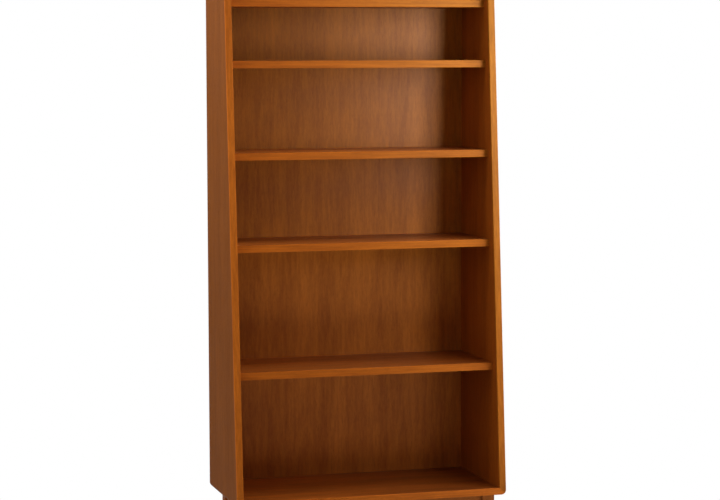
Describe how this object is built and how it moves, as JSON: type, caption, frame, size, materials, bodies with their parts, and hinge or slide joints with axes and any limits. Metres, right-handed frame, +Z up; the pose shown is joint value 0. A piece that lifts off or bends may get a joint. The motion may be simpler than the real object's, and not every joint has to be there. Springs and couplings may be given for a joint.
{
  "type": "open bookcase",
  "caption": "Tall open wooden bookcase whose front leans back towards the top, with set-back fixed shelves, a veneered back and a recessed base of tapered legs on levelling feet.",
  "frame": {"origin": "on the floor under the middle of the case's width and depth", "axes": "+X to the right seen from the front, the open front faces -Y, +Z up"},
  "size_m": [0.914, 0.4179, 1.982],
  "materials": {
    "case_veneer": "satin oiled veneer",
    "back_veneer": "satin oiled veneer",
    "lipping_wood": "satin oiled solid wood",
    "base_wood": "satin oiled solid wood",
    "plain_wood": "bare sawn wood",
    "screw_steel": "zinc plated",
    "stem_steel": "zinc plated",
    "insert_brass": "turned",
    "pad_plastic": "moulded"
  },
  "bodies": {
    "bookcase": {"left_side": "case_veneer", "right_side": "case_veneer", "bottom_board": "case_veneer", "top_board": "case_veneer", "shelf_1": "case_veneer", "shelf_2": "case_veneer", "shelf_3": "case_veneer", "shelf_4": "case_veneer", "shelf_5": "case_veneer", "back_panel": "back_veneer", "left_side_lipping": "lipping_wood", "right_side_lipping": "lipping_wood", "bottom_lipping": "lipping_wood", "top_lipping": "lipping_wood", "shelf_1_lipping": "lipping_wood", "shelf_2_lipping": "lipping_wood", "shelf_3_lipping": "lipping_wood", "shelf_4_lipping": "lipping_wood", "shelf_5_lipping": "lipping_wood", "leg_front_left": "base_wood", "leg_front_right": "base_wood", "leg_rear_left": "base_wood", "leg_rear_right": "base_wood", "rail_front": "base_wood", "rail_rear": "base_wood", "rail_left": "base_wood", "rail_right": "base_wood", "block_front_left": "plain_wood", "block_front_right": "plain_wood", "block_rear_left": "plain_wood", "block_rear_right": "plain_wood", "stretcher": "plain_wood", "spline_bottom_left": "plain_wood", "spline_bottom_right": "plain_wood", "spline_top_left": "plain_wood", "spline_top_right": "plain_wood", "back_staples": "screw_steel", "case_screws": "screw_steel", "inserts": "insert_brass"},
    "foot_front_left": {"pad_front_left": "pad_plastic"},
    "screw_front_left": {"stem_front_left": "stem_steel"},
    "foot_front_right": {"pad_front_right": "pad_plastic"},
    "screw_front_right": {"stem_front_right": "stem_steel"},
    "foot_rear_left": {"pad_rear_left": "pad_plastic"},
    "screw_rear_left": {"stem_rear_left": "stem_steel"},
    "foot_rear_right": {"pad_rear_right": "pad_plastic"},
    "screw_rear_right": {"stem_rear_right": "stem_steel"}
  },
  "joints": [
    {"name": "foot_front_left_height", "type": "slide", "parent": "bookcase", "child": "foot_front_left", "axis": [0, 0, -1], "range_m": [0, 0.01]},
    {"name": "screw_front_left_turn", "type": "hinge", "parent": "foot_front_left", "child": "screw_front_left", "pos_m": [-0.411, -0.167, 0], "axis": [0, 0, -1], "range_deg": [0, 2880]},
    {"name": "foot_front_right_height", "type": "slide", "parent": "bookcase", "child": "foot_front_right", "axis": [0, 0, -1], "range_m": [0, 0.01]},
    {"name": "screw_front_right_turn", "type": "hinge", "parent": "foot_front_right", "child": "screw_front_right", "pos_m": [0.411, -0.167, 0], "axis": [0, 0, -1], "range_deg": [0, 2880]},
    {"name": "foot_rear_left_height", "type": "slide", "parent": "bookcase", "child": "foot_rear_left", "axis": [0, 0, -1], "range_m": [0, 0.01]},
    {"name": "screw_rear_left_turn", "type": "hinge", "parent": "foot_rear_left", "child": "screw_rear_left", "pos_m": [-0.411, 0.145, 0], "axis": [0, 0, -1], "range_deg": [0, 2880]},
    {"name": "foot_rear_right_height", "type": "slide", "parent": "bookcase", "child": "foot_rear_right", "axis": [0, 0, -1], "range_m": [0, 0.01]},
    {"name": "screw_rear_right_turn", "type": "hinge", "parent": "foot_rear_right", "child": "screw_rear_right", "pos_m": [0.411, 0.145, 0], "axis": [0, 0, -1], "range_deg": [0, 2880]}
  ],
  "couplings": [
    {"joint": "screw_front_left_turn", "follows": "foot_front_left_height", "rad_per_m": 5026.5},
    {"joint": "screw_front_right_turn", "follows": "foot_front_right_height", "rad_per_m": 5026.5},
    {"joint": "screw_rear_left_turn", "follows": "foot_rear_left_height", "rad_per_m": 5026.5},
    {"joint": "screw_rear_right_turn", "follows": "foot_rear_right_height", "rad_per_m": 5026.5}
  ]
}
